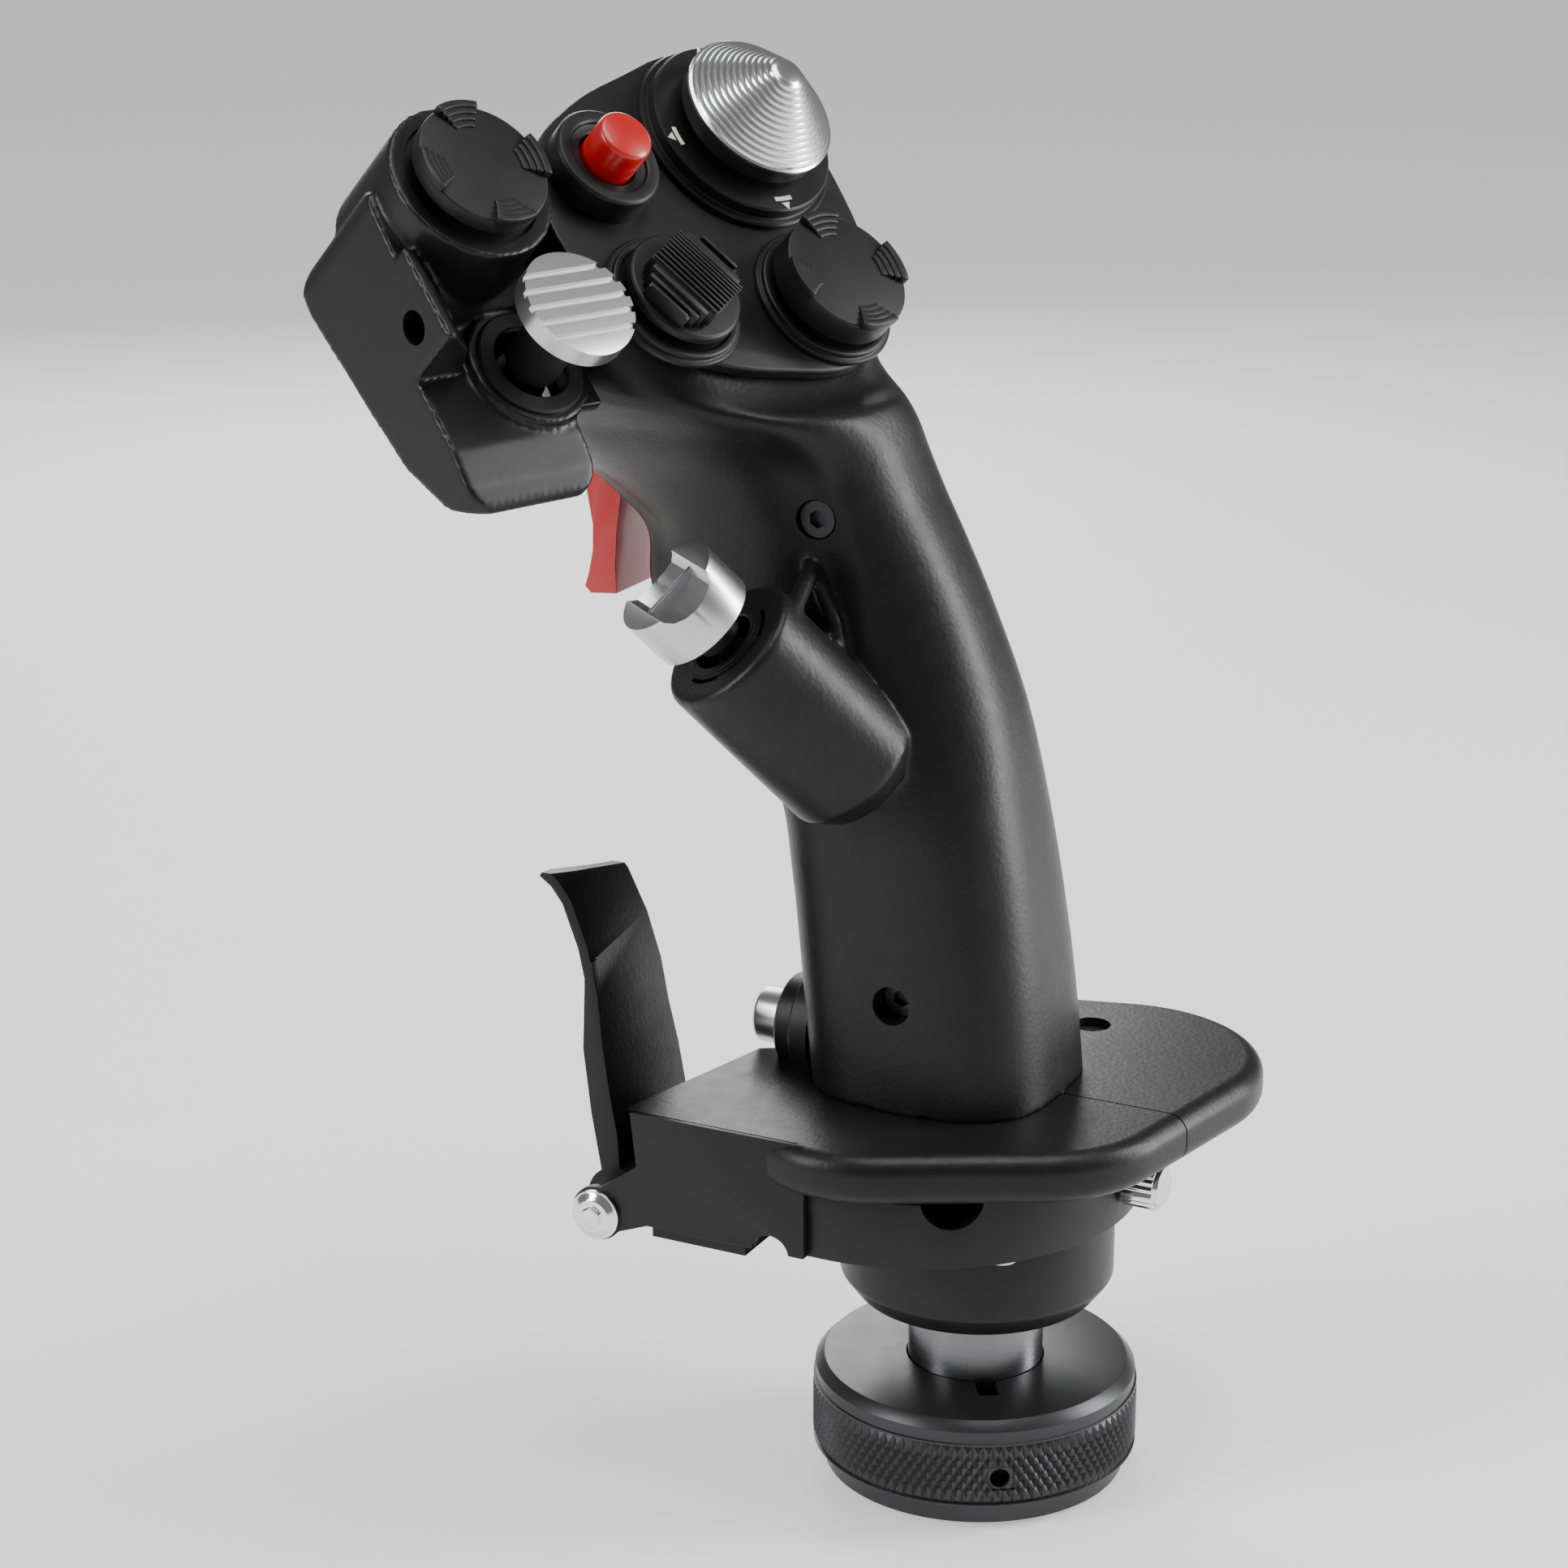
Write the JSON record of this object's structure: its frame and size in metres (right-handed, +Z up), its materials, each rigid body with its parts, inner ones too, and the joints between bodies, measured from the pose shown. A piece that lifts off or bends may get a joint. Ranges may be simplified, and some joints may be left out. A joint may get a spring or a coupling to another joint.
{
  "type": "flight joystick grip",
  "caption": "Flight joystick grip with a palm rest, front paddle, trigger, push buttons and thumb hats on a knurled lock ring.",
  "frame": {"origin": "centre of the lock ring's lower face, on the connector axis", "axes": "+Z up along the connector axis, +Y away from the pilot, +X to the pilot's right"},
  "size_m": [0.1046, 0.1201, 0.213],
  "materials": {
    "dark_metal": "dark satin turned metal",
    "ring_black": "black anodised, knurled",
    "grip_black": "black with a fine grain",
    "smooth_black": "smooth satin black",
    "control_black": "fine satin black",
    "silver": "satin machined",
    "steel": "plain",
    "control_red": "red, satin gloss",
    "contact_gold": "gold plated",
    "board_green": "circuit board with solder mask"
  },
  "bodies": {
    "grip": {"connector_shaft": "dark_metal", "connector_socket": "control_black", "contact_pins": "contact_gold", "neck_collar": "smooth_black", "base_housing": "smooth_black", "housing_screws": "steel", "outer_ear_plate": "smooth_black", "inner_ear_plate": "smooth_black", "paddle_axle": "steel", "axle_caps": "silver", "paddle_spring": "steel", "paddle_switch_cover": "smooth_black", "palm_rest_left": "grip_black", "palm_rest_right": "grip_black", "palm_rest_screws": "steel", "grip_left_shell": "grip_black", "grip_right_shell": "grip_black", "grip_screws": "steel", "grip_spine": "dark_metal", "main_board": "board_green", "face_plate": "smooth_black", "head_board": "board_green", "hat_switches": "control_black", "micro_switches": "control_black", "trigger_pin": "steel", "trigger_spring": "steel", "front_button_collar": "control_black", "trim_flange": "smooth_black", "right_hat_bezel": "control_black", "ribbed_hat_bezel": "control_black", "red_button_collar": "control_black", "pod_shell": "grip_black", "pod_cover": "grip_black", "pod_screw": "dark_metal", "left_hat_bezel": "control_black", "disc_hat_collar": "control_black", "side_hat_housing": "grip_black", "side_hat_bezel": "smooth_black"},
    "lock_ring": {"lock_ring": "ring_black"},
    "ring_washer": {"ring_washer": "dark_metal"},
    "paddle": {"paddle_lever": "grip_black"},
    "thumb_knob": {"thumb_knob": "silver"},
    "trigger": {"trigger": "control_red"},
    "front_button": {"front_button": "silver"},
    "red_button": {"red_button": "control_red"},
    "trim_gimbal": {"trim_gimbal": "steel"},
    "trim_hat": {"trim_hat": "silver", "trim_hat_skirt": "control_black"},
    "right_hat_gimbal": {"right_hat_gimbal": "steel"},
    "right_hat": {"right_hat": "control_black"},
    "ribbed_hat_gimbal": {"ribbed_hat_gimbal": "steel"},
    "ribbed_hat": {"ribbed_hat": "control_black"},
    "left_hat_gimbal": {"left_hat_gimbal": "steel"},
    "left_hat": {"left_hat": "control_black"},
    "disc_hat_gimbal": {"disc_hat_gimbal": "steel"},
    "disc_hat": {"disc_hat": "silver"},
    "side_hat_gimbal": {"side_hat_gimbal": "steel"},
    "side_hat": {"side_hat": "silver"}
  },
  "joints": [
    {"name": "washer_slide", "type": "slide", "parent": "grip", "child": "ring_washer", "axis": [0, 0, 1], "range_m": [0, 0.008]},
    {"name": "lock_ring_spin", "type": "hinge", "parent": "ring_washer", "child": "lock_ring", "pos_m": [0, 0, 0], "axis": [0, 0, 1], "continuous": true},
    {"name": "thumb_knob_spin", "type": "hinge", "parent": "grip", "child": "thumb_knob", "pos_m": [0, -0.03, 0.0504], "axis": [0, 1, 0], "continuous": true},
    {"name": "paddle_press", "type": "hinge", "parent": "grip", "child": "paddle", "pos_m": [0, 0.0464, 0.0448], "axis": [1, 0, 0], "range_deg": [0, 10], "stiffness_Nm_per_rad": 1.6, "springref_deg": -17.19},
    {"name": "trigger_pull", "type": "hinge", "parent": "grip", "child": "trigger", "pos_m": [0, 0.061, 0.1585], "axis": [-1, 0, 0], "range_deg": [0, 8], "stiffness_Nm_per_rad": 1, "springref_deg": -11.46},
    {"name": "front_button_press", "type": "slide", "parent": "grip", "child": "front_button", "axis": [0, -1, 0], "range_m": [0, 0.002], "stiffness_N_per_m": 800, "springref_m": -0.001},
    {"name": "red_button_press", "type": "slide", "parent": "grip", "child": "red_button", "axis": [0.2522, 0.6928, -0.6756], "range_m": [0, 0.002], "stiffness_N_per_m": 800, "springref_m": -0.001},
    {"name": "trim_side", "type": "hinge", "parent": "grip", "child": "trim_gimbal", "pos_m": [0.00786, 0.04746, 0.1964], "axis": [0.2311, 0.6348, 0.7373], "range_deg": [-5, 5], "stiffness_Nm_per_rad": 0.6},
    {"name": "trim_fore", "type": "hinge", "parent": "trim_gimbal", "child": "trim_hat", "pos_m": [0.00786, 0.04746, 0.1964], "axis": [0.9397, -0.342, 0], "range_deg": [-5, 5], "stiffness_Nm_per_rad": 0.6},
    {"name": "right_hat_side", "type": "hinge", "parent": "grip", "child": "right_hat_gimbal", "pos_m": [0.00111, 0.02949, 0.17546], "axis": [0.2311, 0.6348, 0.7373], "range_deg": [-5, 5], "stiffness_Nm_per_rad": 0.6},
    {"name": "right_hat_fore", "type": "hinge", "parent": "right_hat_gimbal", "child": "right_hat", "pos_m": [0.00111, 0.02949, 0.17546], "axis": [0.9397, -0.342, 0], "range_deg": [-5, 5], "stiffness_Nm_per_rad": 0.6},
    {"name": "ribbed_hat_side", "type": "hinge", "parent": "grip", "child": "ribbed_hat_gimbal", "pos_m": [-0.02329, 0.04082, 0.17797], "axis": [0.2311, 0.6348, 0.7373], "range_deg": [-5, 5], "stiffness_Nm_per_rad": 0.6},
    {"name": "ribbed_hat_fore", "type": "hinge", "parent": "ribbed_hat_gimbal", "child": "ribbed_hat", "pos_m": [-0.02329, 0.04082, 0.17797], "axis": [0.9397, -0.342, 0], "range_deg": [-5, 5], "stiffness_Nm_per_rad": 0.6},
    {"name": "left_hat_side", "type": "hinge", "parent": "grip", "child": "left_hat_gimbal", "pos_m": [-0.04303, 0.06086, 0.19633], "axis": [0.2311, 0.6348, 0.7373], "range_deg": [-5, 5], "stiffness_Nm_per_rad": 0.6},
    {"name": "left_hat_fore", "type": "hinge", "parent": "left_hat_gimbal", "child": "left_hat", "pos_m": [-0.04303, 0.06086, 0.19633], "axis": [0.9397, -0.342, 0], "range_deg": [-5, 5], "stiffness_Nm_per_rad": 0.6},
    {"name": "disc_hat_side", "type": "hinge", "parent": "grip", "child": "disc_hat_gimbal", "pos_m": [-0.04075, 0.05366, 0.1713], "axis": [0.2311, 0.6348, 0.7373], "range_deg": [-5, 5], "stiffness_Nm_per_rad": 0.6},
    {"name": "disc_hat_fore", "type": "hinge", "parent": "disc_hat_gimbal", "child": "disc_hat", "pos_m": [-0.04075, 0.05366, 0.1713], "axis": [0.9397, -0.342, 0], "range_deg": [-5, 5], "stiffness_Nm_per_rad": 0.6},
    {"name": "side_hat_side", "type": "hinge", "parent": "grip", "child": "side_hat_gimbal", "pos_m": [-0.02909, 0.02509, 0.13185], "axis": [-0.6388, -0.7694, 0], "range_deg": [-5, 5], "stiffness_Nm_per_rad": 0.6},
    {"name": "side_hat_fore", "type": "hinge", "parent": "side_hat_gimbal", "child": "side_hat", "pos_m": [-0.02909, 0.02509, 0.13185], "axis": [-0.5544, 0.4603, -0.6934], "range_deg": [-5, 5], "stiffness_Nm_per_rad": 0.6}
  ]
}
